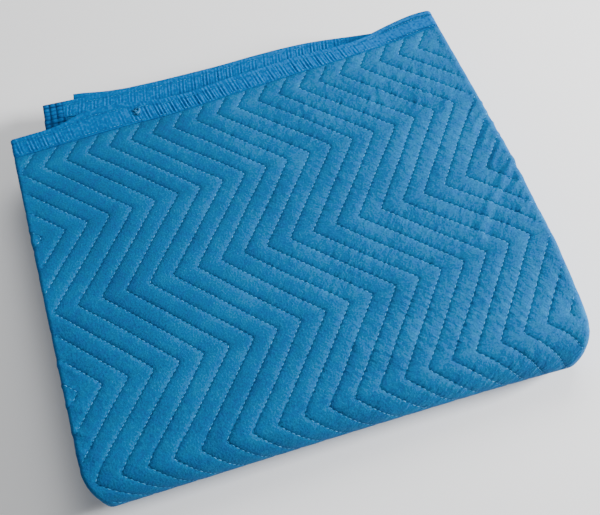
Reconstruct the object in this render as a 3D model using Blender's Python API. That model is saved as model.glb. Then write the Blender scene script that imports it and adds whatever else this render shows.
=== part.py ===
"""A quilted moving blanket, folded in quarters across its width and again along its length.

The cloth is one quilted sheet. Across the width it lies in four layers, A, B, C and D, counted
from its outer face: D runs to the right, turns over the right edge into A, turns under at the
left edge into B, and turns inside the right edge into C. Those four layers then run together
along the length in four legs: leg 1 on top, round the front to leg 2 on the floor, back over
itself in leg 3, and forward again inside the front fold to leg 4, just under leg 1.

x and y below count in columns, the spacing of the stitch lines. x = 0, y = 0 is a left-pointing
corner of stitch line 0. Heights, thicknesses and offsets are in metres.
"""

import math

import bmesh
import bpy
import numpy as np

MM = 0.001

# The quilting: parallel zigzag stitch lines that run from front to back
COLUMN = 25.4 * MM
ZIGZAG_REACH = 3.147  # sideways travel of a line, in columns
ZIGZAG_PERIOD = 7.288  # and its repeat along the length

# The quilt's thickness
LAYER = 4.0 * MM  # pitch of the folded layers
CROWN = 1.6 * MM  # half the thickness between two stitch lines
VALLEY = 0.8 * MM  # on a stitch line, on the outer face
PRESSED = 0.8 * MM  # inside the binding
RELIEF_ENDS = 2.2  # angle round the front fold at which the quilting starts to flatten
GAP = 0.3 * MM

# The binding, a tape folded over each edge
TAPE_WIDTH = 25.0 * MM
TAPE = 0.5 * MM
TAPE_ROUND = 0.6 * MM  # how far its folded edge stands out past its inner face
UNDER_TAPE = (25.5 * MM, 27.0 * MM)  # the quilt thickens between these distances from an edge

# The pack of four layers along the length: where its legs end, in columns
HEM_ONE_Y = 1.50
FRONT_FOLD_Y = -14.25
BACK_FOLD_Y = 1.60
HEM_TWO_Y = 3.15
LEG_HEIGHTS = {"leg 1": 14 * LAYER, "leg 2": 2 * LAYER, "leg 3": 6 * LAYER, "leg 4": 10 * LAYER}
FOLDS = {
    "outer front": {"from": "leg 1", "to": "leg 2", "y": FRONT_FOLD_Y},
    "back": {"from": "leg 2", "to": "leg 3", "y": BACK_FOLD_Y},
    "inner front": {"from": "leg 3", "to": "leg 4", "y": FRONT_FOLD_Y},
}
FLOOR_LIFT = CROWN - 2.0 * MM  # brings the underside to z = 0

# Where the edges of the pack lie across the width, in columns, at nine places along the length
EDGE_COLUMNS = ("place", "left_fold", "right_fold", "c_end", "d_end")
EDGES = (
    ("first hem", -1.20, 19.62, -0.70, -0.92),
    ("middle of leg 1", -1.30, 19.28, -0.85, -1.05),
    ("front of leg 1", -1.38, 18.66, -0.90, -1.10),
    ("front of leg 2", -1.30, 18.56, -0.85, -1.05),
    ("back of leg 2", -0.80, 19.10, -0.30, -0.52),
    ("back of leg 3", -0.70, 19.10, -0.20, -0.45),
    ("front of leg 3", -0.90, 18.45, -0.42, -0.65),
    ("front of leg 4", -0.85, 18.45, -0.35, -0.60),
    ("second hem", 1.00, 19.45, 1.98, 0.48),
)

# How far the hems and the front fold stray from a straight line, in columns, at three places
SHIFT_PLACES = (-1.2, 9.0, 19.4)
HEM_ONE_SHIFT = (0.38, 0.00, 0.48)
FRONT_SHIFT = (0.49, 0.00, -0.63)
HEM_TWO_SHIFT = (1.18, 0.00, -0.55)
LAYER_STEP = 4.0 * MM  # the layers under D stand out past it at the second hem
DROOP = 2.0 * MM  # and the second hem hangs down, because nothing is under it

# Soft corners at the front
CORNER_DEEP = 36 * MM
CORNER_WIDE = {"left": 17 * MM, "right": 28 * MM}
CORNER_REACH = 110 * MM  # the cloth is pushed together over this width
# Low swells of the whole stack, as shares of its height
SWELLS = ((0.018, 0.20, 0.06, 0.4), (0.012, -0.08, 0.12, 2.1))

# Steps of the mesh
FLAT_STEPS = 6  # across a flat layer
TURN_STEPS = 4  # round a fold of the whole pack
LINES = range(-9, 41)  # half columns over layer A: even ones are stitch lines
NUDGE = 0.3 * MM / COLUMN  # lines that would lie past a fold are held this far apart beside it

BLUE = (0.030, 0.215, 0.470)
BINDING_BLUE = (0.022, 0.205, 0.500)


def clear_scene():
    for thing in list(bpy.data.objects):
        bpy.data.objects.remove(thing, do_unlink=True)


def cloth_material(name, colour, roughness):
    """A plain dyed cloth."""
    material = bpy.data.materials.new(name)
    material.use_nodes = True
    shader = material.node_tree.nodes["Principled BSDF"]
    shader.inputs["Base Color"].default_value = (*colour, 1.0)
    shader.inputs["Roughness"].default_value = roughness
    shader.inputs["Metallic"].default_value = 0.0
    return material


def ease(value):
    """0 below 0, 1 above 1, and smooth between."""
    value = min(max(value, 0.0), 1.0)
    return value * value * (3 - 2 * value)


def through(values, x):
    """A parabola through three values at SHIFT_PLACES."""
    a, b, c = SHIFT_PLACES
    left = (x - b) * (x - c) / ((a - b) * (a - c))
    middle = (x - a) * (x - c) / ((b - a) * (b - c))
    right = (x - a) * (x - b) / ((c - a) * (c - b))
    return values[0] * left + values[1] * middle + values[2] * right


def zigzag(y):
    """How far right of its left-pointing corners a stitch line is, in columns."""
    phase = (y / ZIGZAG_PERIOD) % 1.0
    return ZIGZAG_REACH * (1 - abs(2 * phase - 1))


class Place:
    """One place along the pack's length: the middle of the pack and its outward direction."""

    def __init__(self, leg, share, y, z, outward, angle=0.0):
        self.leg = leg
        self.share = share  # how far along its leg or fold, 0 to 1
        self.y = y
        self.z = z
        self.outward = outward  # along y and z, where the cloth's outer face looks
        self.angle = angle  # round the outer front fold, the back fold or the inner one


def leg_place(leg, y, from_y, to_y):
    outward = 1.0 if leg in ("leg 1", "leg 3") else -1.0
    share = (y - from_y) / (to_y - from_y)
    return Place(leg, share, y * COLUMN, LEG_HEIGHTS[leg], (0.0, outward))


def fold_place(name, angle):
    """A place on a fold; the angle runs from 0 to pi along the cloth."""
    fold = FOLDS[name]
    start, end = LEG_HEIGHTS[fold["from"]], LEG_HEIGHTS[fold["to"]]
    radius = abs(start - end) / 2
    up = 1 if start > end else -1
    side = 1 if name == "back" else -1
    turn = (side * math.sin(angle), up * math.cos(angle))
    facing = -1 if name == "inner front" else 1
    outward = (facing * turn[0], facing * turn[1])
    y = fold["y"] * COLUMN + radius * turn[0]
    z = (start + end) / 2 + radius * turn[1]
    return Place(name, angle / math.pi, y, z, outward, angle)


def stations():
    """The places at which the pack's section is built, from the first hem to the second."""
    half = ZIGZAG_PERIOD / 2
    quarter = half / 2
    under_tape = [width / COLUMN for width in UNDER_TAPE]
    leg_one = [HEM_ONE_Y, HEM_ONE_Y - under_tape[0], HEM_ONE_Y - under_tape[1]]
    leg_one += [-quarter * step for step in range(8)]
    leg_one.append(FRONT_FOLD_Y)
    leg_four = [-9.0, -4.0, HEM_TWO_Y - under_tape[1], HEM_TWO_Y - under_tape[0], HEM_TWO_Y]
    corner = (2 * ZIGZAG_PERIOD + FRONT_FOLD_Y) * COLUMN / (8 * LAYER)
    front = [corner / 2, corner, 0.65, 1.05, 1.45, 1.85, 2.2, 2.6, 2.9]
    turns = [math.pi * step / TURN_STEPS for step in range(TURN_STEPS + 1)]
    found = [leg_place("leg 1", y, HEM_ONE_Y, FRONT_FOLD_Y) for y in leg_one]
    found += [fold_place("outer front", angle) for angle in front]
    found += [leg_place("leg 2", y, FRONT_FOLD_Y, BACK_FOLD_Y) for y in (FRONT_FOLD_Y, -6.0)]
    found += [fold_place("back", angle) for angle in turns]
    found.append(leg_place("leg 3", -6.0, BACK_FOLD_Y, FRONT_FOLD_Y))
    found += [fold_place("inner front", angle) for angle in turns]
    found += [leg_place("leg 4", y, FRONT_FOLD_Y, HEM_TWO_Y) for y in leg_four]
    return found


def edges_at(place):
    """The row of EDGES at a place, worked out between its two nearest rows."""
    rows = {
        "leg 1": (0, 1, 2),
        "outer front": (2, 3),
        "leg 2": (3, 4),
        "back": (4, 5),
        "leg 3": (5, 6),
        "inner front": (6, 7),
        "leg 4": (7, 8),
    }[place.leg]
    along = min(max(place.share, 0.0), 1.0) * (len(rows) - 1)
    first = min(int(along), len(rows) - 2)
    low, high = EDGES[rows[first]], EDGES[rows[first + 1]]
    share = along - first
    values = [a + (b - a) * share for a, b in zip(low[1:], high[1:])]
    return dict(zip(EDGE_COLUMNS[1:], values))


def shift_at(place, x):
    """How far a place's line across the cloth strays along y, in columns."""
    share, hem, front, tail = place.share, 0.0, 0.0, 0.0
    if place.leg == "leg 1":
        hem = ease(1 - 3.2 * share)
        front = ease(6.0 * share - 5.0)
    elif place.leg in ("outer front", "inner front"):
        front = 1.0
    elif place.leg == "leg 2":
        front = ease(1 - 2 * share)
    elif place.leg == "leg 3":
        front = ease(2 * share - 1)
    elif place.leg == "leg 4":
        front = ease(1 - 2 * share)
        tail = ease(2 * share - 1)
    moved = hem * through(HEM_ONE_SHIFT, x) + front * through(FRONT_SHIFT, x)
    return moved + tail * through(HEM_TWO_SHIFT, x)


def cloth_y(place, x):
    """How far along its length the cloth's outer face is, in columns, on leg 1 and its fold."""
    if place.leg == "outer front":
        start = FRONT_FOLD_Y + through(FRONT_SHIFT, x)
        return start - place.angle * 8 * LAYER / COLUMN
    return place.y / COLUMN + shift_at(place, x)


def world(place, x, offset):
    """The point at x columns, and offset metres outward from the pack's middle."""
    y = place.y + offset * place.outward[0]
    z = place.z + offset * place.outward[1] + FLOOR_LIFT
    y += shift_at(place, x) * COLUMN
    if place.leg == "leg 4":
        tail = ease(4 * place.share - 3)
        under = min(max(offset + 1.5 * LAYER, 0.0), LAYER_STEP)
        y += tail * under
        z -= DROOP * max(1 - (HEM_TWO_Y * COLUMN - place.y) / UNDER_TAPE[1], 0.0)
    front = (FRONT_FOLD_Y + through(FRONT_SHIFT, x)) * COLUMN - 8 * LAYER
    behind = min(max(1 - (y - front) / CORNER_DEEP, 0.0), 1.0)
    round_off = 1 - math.sqrt(1 - behind * behind)
    left, right = EDGES[2][1] * COLUMN, EDGES[2][2] * COLUMN
    along = x * COLUMN
    from_left = max(1 - (along - left) / CORNER_REACH, 0.0)
    from_right = max(1 - (right - along) / CORNER_REACH, 0.0)
    moved = along + round_off * CORNER_WIDE["left"] * from_left
    moved -= round_off * CORNER_WIDE["right"] * from_right
    swell = sum(
        height * math.sin(a * x + b * y / COLUMN + phase) for height, a, b, phase in SWELLS
    )
    return (moved, y, z * (1 + swell))


def arc(centre, radius, start, end, steps, turn):
    """Samples round a fold of the section: x, offset, and the direction of the cloth's outside."""
    found = []
    for step in range(steps + 1):
        angle = start + (end - start) * step / steps
        across, up = math.cos(angle), math.sin(angle)
        point = (centre[0] + radius * across / COLUMN, centre[1] + radius * up)
        found.append((*point, turn * across, turn * up, 1.0))
    return found


def flat(xs, offset, outside, edge=None):
    """Samples along a flat layer; the last value is how far each is from a bound edge."""
    away = [1.0 if edge is None else abs(x - edge) * COLUMN for x in xs]
    return [(x, offset, 0.0, outside, far) for x, far in zip(xs, away)]


def between(start, end):
    """x places on a flat layer between two folds, near enough together to follow the swells."""
    return [start + (end - start) * step / FLAT_STEPS for step in range(1, FLAT_STEPS)]


def bound_run(end, other):
    """x places from a bound edge to the other end of a flat layer."""
    start = [end, end + UNDER_TAPE[0] / COLUMN, end + UNDER_TAPE[1] / COLUMN]
    return start + between(start[-1], other)


def section(place, quilted):
    """The cloth's middle line across the pack at a place, from D's edge to C's.

    With quilted, layer A has a sample on each stitch line and one between each two.
    """
    edges = edges_at(place)
    right = edges["right_fold"] - (1.5 * LAYER + CROWN) / COLUMN
    left = edges["left_fold"] + (0.5 * LAYER + CROWN) / COLUMN
    inner = right - 3.0 * MM / COLUMN
    levels = {"A": 1.5 * LAYER, "B": 0.5 * LAYER, "C": -0.5 * LAYER, "D": -1.5 * LAYER}
    half = math.pi / 2
    line = flat(bound_run(edges["d_end"], right), levels["D"], -1.0, edges["d_end"])
    line += arc((right, 0.0), 1.5 * LAYER, -half, half, 6, 1)
    if quilted:
        line += quilted_run(place, right, left, levels["A"])
    else:
        line += flat(between(right, left), levels["A"], 1.0)
    line += arc((left, LAYER), 0.5 * LAYER, half, 3 * half, 4, 1)
    line += flat(between(left, inner), levels["B"], -1.0)
    line += arc((inner, 0.0), 0.5 * LAYER, half, -half, 4, -1)
    line += flat(bound_run(edges["c_end"], inner)[::-1], levels["C"], 1.0, edges["c_end"])
    return line


def quilted_run(place, right, left, level):
    """Samples over layer A, from right to left, that follow the zigzag stitch lines."""
    found = []
    for number in reversed(LINES):
        x = number / 2 + zigzag(cloth_y(place, number / 2 + ZIGZAG_REACH / 2))
        x = number / 2 + zigzag(cloth_y(place, x))
        low = left + NUDGE * (number - LINES[0] + 1)
        high = right - NUDGE * (LINES[-1] - number + 1)
        on_line = number % 2 == 0 and low < x < high
        found.append((min(max(x, low), high), level, 0.0, 1.0, -1.0 if on_line else 1.0))
    return found


def pressed(place):
    """True where a hem's binding holds the quilt flat."""
    reach = (UNDER_TAPE[0] + UNDER_TAPE[1]) / 2
    near_one = place.leg == "leg 1" and HEM_ONE_Y * COLUMN - place.y < reach
    near_two = place.leg == "leg 4" and HEM_TWO_Y * COLUMN - place.y < reach
    return near_one or near_two


def half_thickness(place, away):
    """Half the quilt's thickness; away is under 0 on a stitch line that shows."""
    if pressed(place) or 0 <= away < (UNDER_TAPE[0] + UNDER_TAPE[1]) / 2:
        return PRESSED
    if away < 0 and place.leg in ("leg 1", "outer front"):
        flatter = ease((place.angle - RELIEF_ENDS) / (math.pi - RELIEF_ENDS))
        return VALLEY + (CROWN - VALLEY) * flatter
    return CROWN


def lift(place, sample, height):
    """The world point at a height above the cloth's middle line, towards its outside."""
    x, offset, across, up, _ = sample
    return world(place, x + across * height / COLUMN, offset + up * height)


def quilt_row(place):
    """The quilt's outer and inner faces at one place along the pack."""
    over = [lift(place, s, half_thickness(place, s[4])) for s in section(place, True)]
    under = [lift(place, s, -half_thickness(place, s[4])) for s in section(place, False)]
    return over, under


def join_rings(mesh, one, two):
    for a, b in zip(range(len(one)), range(1, len(one) + 1)):
        b %= len(one)
        mesh.faces.new((one[a], one[b], two[b], two[a]))


def close_end(mesh, over, under):
    """Triangles across the cloth's cut end, between two rows of unlike length."""
    a = b = 0
    while a < len(over) - 1 or b < len(under) - 1:
        step_over = b == len(under) - 1 or (
            a < len(over) - 1
            and (over[a + 1].co - under[b].co).length < (under[b + 1].co - over[a].co).length
        )
        if step_over:
            mesh.faces.new((over[a], over[a + 1], under[b]))
            a += 1
        else:
            mesh.faces.new((under[b + 1], under[b], over[a]))
            b += 1


def finish(mesh, name, material):
    bmesh.ops.recalc_face_normals(mesh, faces=mesh.faces)
    data = bpy.data.meshes.new(name)
    mesh.to_mesh(data)
    mesh.free()
    data.shade_smooth()
    data.set_sharp_from_angle(angle=math.radians(50))
    data.materials.append(material)
    thing = bpy.data.objects.new(name, data)
    bpy.context.scene.collection.objects.link(thing)
    return thing


def swept(rows, name, material):
    """A closed solid from rows, each an outer and an inner list of world points."""
    mesh = bmesh.new()
    rings = []
    for over, under in rows:
        rings.append(([mesh.verts.new(p) for p in over], [mesh.verts.new(p) for p in under]))
    for one, two in zip(rings, rings[1:]):
        join_rings(mesh, one[0] + one[1][::-1], two[0] + two[1][::-1])
    close_end(mesh, *rings[0])
    close_end(mesh, *rings[-1])
    return finish(mesh, name, material)


def tape_profile():
    """The folded tape's outer and inner lines: how far in from the edge, and how high."""
    face = PRESSED + GAP
    skin = face + TAPE
    outer = (
        (TAPE_WIDTH, skin),
        (0.0, skin),
        (-GAP - TAPE_ROUND, skin / 2),
        (-GAP - TAPE_ROUND, -skin / 2),
        (0.0, -skin),
        (TAPE_WIDTH, -skin),
    )
    inner = ((TAPE_WIDTH, face), (-GAP, face), (-GAP, -face), (TAPE_WIDTH, -face))
    return outer, inner


def hem_place(leg, inward):
    """A place a distance in from the hem at the end of leg 1 or leg 4."""
    if leg == "leg 1":
        return leg_place(leg, HEM_ONE_Y - inward / COLUMN, HEM_ONE_Y, FRONT_FOLD_Y)
    return leg_place(leg, HEM_TWO_Y - inward / COLUMN, FRONT_FOLD_Y, HEM_TWO_Y)


def hem_binding(leg, name, material):
    """The tape over a hem, which follows all four layers across the pack."""
    outer, inner = tape_profile()
    rows = []
    for number in range(len(section(hem_place(leg, 0.0), False))):
        lines = []
        for profile in (outer, inner):
            points = []
            for inward, height in profile:
                place = hem_place(leg, inward)
                points.append(lift(place, section(place, False)[number], height))
            lines.append(points)
        rows.append(lines)
    return swept(rows, name, material)


def side_binding(layer, name, material):
    """The tape over the cloth's side edge, in layer C or D, along all four legs."""
    outer, inner = tape_profile()
    end, offset = ("c_end", -0.5 * LAYER) if layer == "C" else ("d_end", -1.5 * LAYER)
    clear = TAPE_WIDTH + GAP
    run = [hem_place("leg 1", clear)]
    run += [p for p in stations() if not pressed(p)]
    run.append(hem_place("leg 4", clear))
    rows = []
    for place in run:
        edge = edges_at(place)[end]
        lines = []
        for profile in (outer, inner):
            lines.append([world(place, edge + i / COLUMN, offset + h) for i, h in profile])
        rows.append(lines)
    return swept(rows, name, material)


def centre(things):
    """Puts the middle of the part's base on the origin."""
    points = np.array([v.co[:] for thing in things for v in thing.data.vertices])
    low, high = points.min(axis=0), points.max(axis=0)
    middle = (low + high) / 2
    for thing in things:
        for vertex in thing.data.vertices:
            vertex.co.x -= middle[0]
            vertex.co.y -= middle[1]
    print(f"centre {middle[0]:.5f} {middle[1]:.5f}, size {high - low}, base {low[2]:.6f}")


def main():
    clear_scene()
    cloth = cloth_material("quilted_cloth", BLUE, 0.85)
    tape = cloth_material("binding_tape", BINDING_BLUE, 0.70)
    things = [
        swept([quilt_row(place) for place in stations()], "quilt", cloth),
        hem_binding("leg 1", "hem_binding_top", tape),
        hem_binding("leg 4", "hem_binding_under", tape),
        side_binding("D", "side_binding_outer", tape),
        side_binding("C", "side_binding_inner", tape),
    ]
    centre(things)


main()
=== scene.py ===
# %% [markdown]
# # A folded moving blanket
#
# Movers wrap furniture in quilts like this one: two faces of soft non-woven polyester with a thin
# wadding between them, sewn together along parallel zigzag lines, and a tape folded over all four
# edges. This one lies folded in quarters across its width and again along its length.
#
# The lesson starts from the imported CAD model of the blanket. Every piece made here lies where that
# model says, so the model is loaded first.

# %% Load the frame
import math

import bmesh
import bpy
import numpy as np
from mathutils import Matrix, Vector

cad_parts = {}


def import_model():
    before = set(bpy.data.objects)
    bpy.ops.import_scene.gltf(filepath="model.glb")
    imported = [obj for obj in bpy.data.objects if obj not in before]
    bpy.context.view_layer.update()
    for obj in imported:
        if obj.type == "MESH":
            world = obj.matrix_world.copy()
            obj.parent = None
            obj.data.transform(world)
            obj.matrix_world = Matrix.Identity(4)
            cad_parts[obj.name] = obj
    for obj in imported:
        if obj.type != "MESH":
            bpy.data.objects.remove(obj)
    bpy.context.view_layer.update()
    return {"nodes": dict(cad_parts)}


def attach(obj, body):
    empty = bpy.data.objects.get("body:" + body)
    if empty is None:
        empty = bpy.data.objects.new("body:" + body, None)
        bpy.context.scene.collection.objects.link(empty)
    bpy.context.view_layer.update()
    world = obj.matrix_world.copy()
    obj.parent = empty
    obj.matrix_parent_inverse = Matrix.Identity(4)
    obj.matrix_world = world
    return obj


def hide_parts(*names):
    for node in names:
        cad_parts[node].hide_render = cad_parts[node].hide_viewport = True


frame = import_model()
print("nodes:", sorted(frame["nodes"]))

# %% [markdown]
# ## The camera
#
# A photograph fixes a camera by its perspective: the four corners of the folded blanket and the
# corners of its zigzag lines give the direction, the distance and the lens. Here the camera looks
# down at the front of the blanket from about 62 degrees, and it is tipped a little to its right.

# %% Place the camera
camera_data = bpy.data.cameras.new("camera")
camera_data.sensor_width = 36.0
camera_data.lens = 48.26
camera = bpy.data.objects.new("camera", camera_data)
bpy.context.scene.collection.objects.link(camera)
camera_right = Vector((0.94069, -0.33529, -0.05172))
camera_up = Vector((0.31937, 0.82378, 0.46839))
camera_back = Vector((-0.11444, -0.45713, 0.88201))
turned = Matrix((camera_right, camera_up, camera_back)).transposed()
camera.matrix_world = Matrix.Translation((-0.0970, -0.4430, 0.7987)) @ turned.to_4x4()
bpy.context.scene.camera = camera
print("camera at", tuple(camera.location), "lens", camera_data.lens)

# %% [markdown]
# ## How the cloth is folded
#
# A folded cloth is easiest to build from a map: a rule that says where in space any point of the
# flat cloth ends up. One value counts across the cloth and one along it. A simulation of sixteen
# layers would be slow and would never land twice in the same place, while a map can put each
# stitch, tape and crease exactly on the cloth. The map repeats the sizes of the CAD model.
#
# The cloth is counted in columns of stitching, 25.4 mm wide. Across the width it lies in four
# layers. Layer A is the top one. It turns over the right edge into D, the lowest, and under at the
# left edge into B, which turns inside the right edge into C. These four layers run together in
# four legs: leg 1 on top, leg 2 on the floor, and legs 3 and 4 folded back between them.

# %% Sizes of the folded pack
MM = 0.001
COLUMN = 25.4 * MM
LAYER = 4.0 * MM  # pitch of the folded layers
CROWN = 1.6 * MM  # half the thickness of the quilt where nothing shows
PRESSED = 0.8 * MM  # half its thickness inside the tape
TAPE_WIDTH = 25.0 * MM
FLOOR_LIFT = CROWN - 2.0 * MM
ORIGIN = (0.23170, -0.15027)  # the middle of the part, in metres of the layout

HEM_ONE_Y = 1.50
FRONT_FOLD_Y = -14.25
BACK_FOLD_Y = 1.60
HEM_TWO_Y = 3.15
# Runs along the cloth: from y and to y in columns, from and to height in layers, which way the
# outer face looks on a flat run, the side a fold bulges to, and whether the outer face is outside
RUNS = (
    ("leg 1", HEM_ONE_Y, FRONT_FOLD_Y, 14, 14, 1, 0, 0),
    ("outer front", FRONT_FOLD_Y, FRONT_FOLD_Y, 14, 2, 0, -1, 1),
    ("leg 2", FRONT_FOLD_Y, BACK_FOLD_Y, 2, 2, -1, 0, 0),
    ("back", BACK_FOLD_Y, BACK_FOLD_Y, 2, 6, 0, 1, 1),
    ("leg 3", BACK_FOLD_Y, FRONT_FOLD_Y, 6, 6, 1, 0, 0),
    ("inner front", FRONT_FOLD_Y, FRONT_FOLD_Y, 6, 10, 0, -1, -1),
    ("leg 4", FRONT_FOLD_Y, HEM_TWO_Y, 10, 10, -1, 0, 0),
)
LEG_1, OUTER_FRONT, LEG_2, BACK, LEG_3, INNER_FRONT, LEG_4 = range(7)
TURN_RADII = {OUTER_FRONT: 8.0, BACK: 3.5, INNER_FRONT: 0.5}  # of layer A, in layers
run_table = np.array([run[1:] for run in RUNS], float)
run_lengths = np.abs(run_table[:, 1] - run_table[:, 0])
for number, radius in TURN_RADII.items():
    run_lengths[number] = math.pi * radius * LAYER / COLUMN
run_starts = HEM_ONE_Y - np.concatenate([[0.0], np.cumsum(run_lengths)])
CLOTH_END = run_starts[7]  # where the second hem lies along the cloth
print("cloth along the pack:", round(run_lengths.sum() * COLUMN, 3), "m")

# %% Where the edges of the pack lie
# In columns: the left fold, the right fold, and the side edges of layers C and D
EDGES = np.array(
    (
        (-1.20, 19.62, -0.70, -0.92),
        (-1.30, 19.28, -0.85, -1.05),
        (-1.38, 18.66, -0.90, -1.10),
        (-1.30, 18.56, -0.85, -1.05),
        (-0.80, 19.10, -0.30, -0.52),
        (-0.70, 19.10, -0.20, -0.45),
        (-0.90, 18.45, -0.42, -0.65),
        (-0.85, 18.45, -0.35, -0.60),
        (1.00, 19.45, 1.98, 0.48),
    )
)
EDGE_START = np.array((0, 2, 3, 4, 5, 6, 7))  # the row of EDGES at which each run starts
EDGE_SPAN = np.array((2, 1, 1, 1, 1, 1, 1))
# How far hems and folds stray from a straight line, in columns, at three places across
SHIFT_PLACES = (-1.2, 9.0, 19.4)
HEM_ONE_SHIFT = (0.38, 0.00, 0.48)
FRONT_SHIFT = (0.49, 0.00, -0.63)
HEM_TWO_SHIFT = (1.18, 0.00, -0.55)
LAYER_STEP = 4.0 * MM
DROOP = 2.0 * MM
UNDER_TAPE = 27.0 * MM
CORNER_DEEP = 36 * MM
CORNER_WIDE = (17 * MM, 28 * MM)
CORNER_REACH = 110 * MM
SWELLS = ((0.018, 0.20, 0.06, 0.4), (0.012, -0.08, 0.12, 2.1))

# %% [markdown]
# The CAD model keeps hems and edges as simple curves. Real hems wander by a few millimetres, so
# short tables add that: x or y in columns, and how far the edge strays there. The layers under D
# also stand out a little more at the back left corner, where they have slipped.

# %% How the hems and the right edge wander
HEM_ONE_WANDER = (
    (-1.4, 0.14), (0.0, 0.20), (2.6, 0.27), (4.3, 0.26), (5.8, 0.17), (7.2, 0.19), (8.8, 0.27),
    (11.4, 0.29), (13.4, 0.25), (15.5, 0.20), (17.4, 0.17), (18.7, 0.20), (19.8, 0.10),
)
HEM_TWO_WANDER = (
    (0.4, 0.0), (6.0, 0.02), (9.0, 0.10), (10.5, 0.20), (12.0, 0.24), (13.4, 0.20), (14.6, 0.04),
    (15.8, -0.16), (17.0, -0.34), (19.6, -0.34),
)
# The tape on the top hem is laid wider at the left and narrower further right
HEM_ONE_EDGE = (
    (0.8, 0.0), (1.3, 0.08), (1.9, 0.34), (2.6, 0.46), (3.4, 0.42), (4.2, 0.34), (5.0, 0.14),
    (5.8, 0.0), (7.2, -0.10), (9.0, -0.05), (12.7, -0.06), (14.6, -0.22), (15.6, -0.26), (16.6, -0.08),
    (17.4, 0.05), (18.6, 0.10), (19.6, 0.0),
)
# The tape on the lower hem reaches further forward here, under the top one
HEM_TWO_EDGE = ((1.5, 0.0), (3.0, -0.2), (5.0, -0.32), (8.0, -0.3), (10.0, 0.0))
# Under D, layer C has slipped out at the back left corner, and A and B have slipped in, in mm
SLIPPED_C = ((1.6, 9.2), (2.1, 9.2), (2.7, 6.6), (3.2, 3.6), (3.8, 1.8), (4.8, 0.0))
SLIPPED_AB = ((1.9, -3.2), (2.6, -1.5), (3.8, 0.0))
RIGHT_WANDER = (
    (-15.6, -0.08), (-14.5, -0.08), (-13.5, 0.07), (-12.4, 0.17), (-11.3, 0.24), (-9.5, 0.17),
    (-7.6, 0.15), (-4.8, 0.05), (-2.7, 0.02), (-0.3, -0.05), (1.5, -0.08),
)


def wander(table, value):
    """A smooth curve through a table of places and amounts."""
    places, amounts = np.array(table).T
    near = 0.45
    value = np.asarray(value, float)
    steps = (-1.0, -0.5, 0.0, 0.5, 1.0)
    return sum(np.interp(value + near * step, places, amounts) for step in steps) / len(steps)


# %% Small rules of the map
def ease(value):
    """0 below 0, 1 above 1, and smooth between."""
    value = np.clip(value, 0.0, 1.0)
    return value * value * (3 - 2 * value)


def through(values, x):
    """A parabola through three values at SHIFT_PLACES."""
    a, b, c = SHIFT_PLACES
    left = (x - b) * (x - c) / ((a - b) * (a - c))
    middle = (x - a) * (x - c) / ((b - a) * (b - c))
    right = (x - a) * (x - b) / ((c - a) * (c - b))
    return values[0] * left + values[1] * middle + values[2] * right


def rows_at(run, along):
    """Places along the cloth, one row each: their run, and how far along in columns."""
    run = np.asarray(run, int).reshape(-1, 1)
    along = np.asarray(along, float).reshape(-1, 1)
    share = (run_starts[run] - along) / run_lengths[run]
    from_y, to_y, from_z, to_z, looks, side, facing = run_table[run].transpose(2, 0, 1)
    angle = math.pi * share * (side != 0)
    radius = np.abs(from_z - to_z) * LAYER / 2
    up = np.sign(from_z - to_z)
    rows = {"run": run, "along": along, "share": np.clip(share, 0, 1), "angle": angle}
    rows["y"] = (from_y + (to_y - from_y) * share) * COLUMN + radius * side * np.sin(angle)
    rows["z"] = (from_z + to_z) * LAYER / 2 + radius * up * np.cos(angle)
    rows["out_y"] = facing * side * np.sin(angle)
    rows["out_z"] = looks + facing * up * np.cos(angle)
    place = EDGE_START[run] + rows["share"] * EDGE_SPAN[run]
    for column, name in enumerate(("left_fold", "right_fold", "c_end", "d_end")):
        rows[name] = np.interp(place, np.arange(len(EDGES)), EDGES[:, column])
    rows["right_fold"] = rows["right_fold"] + wander(RIGHT_WANDER, rows["y"] / COLUMN)
    rows["right"] = rows["right_fold"] - (1.5 * LAYER + CROWN) / COLUMN
    rows["left"] = rows["left_fold"] + (0.5 * LAYER + CROWN) / COLUMN
    rows["inner"] = rows["right"] - 3.0 * MM / COLUMN
    return rows


def shift_at(rows, x):
    """How far a row strays along y, in columns."""
    run, share = rows["run"], rows["share"]
    hem = np.where(run == LEG_1, ease(1 - 3.2 * share), 0.0)
    front = np.select(
        [run == LEG_1, (run == OUTER_FRONT) | (run == INNER_FRONT), run == BACK, run == LEG_3],
        [ease(6 * share - 5), 1.0, 0.0, ease(2 * share - 1)],
        ease(1 - 2 * share),
    )
    tail = np.where(run == LEG_4, ease(2 * share - 1), 0.0)
    hem_one = through(HEM_ONE_SHIFT, x) + wander(HEM_ONE_WANDER, x)
    hem_two = through(HEM_TWO_SHIFT, x) + wander(HEM_TWO_WANDER, x)
    in_tape = np.clip(1 - (HEM_ONE_Y - rows["along"]) * COLUMN / TAPE_WIDTH, 0.0, 1.0)
    hem_edge = np.where(run == LEG_1, in_tape, 0.0) * wander(HEM_ONE_EDGE, x)
    from_two = (rows["along"] - CLOTH_END) * COLUMN / TAPE_WIDTH
    pulled = np.clip(np.minimum(from_two, 1.5 - from_two / 2), 0.0, 1.0)
    hem_edge = hem_edge + np.where(run == LEG_4, pulled, 0.0) * wander(HEM_TWO_EDGE, x)
    return hem * hem_one + hem_edge + front * through(FRONT_SHIFT, x) + tail * hem_two


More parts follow.
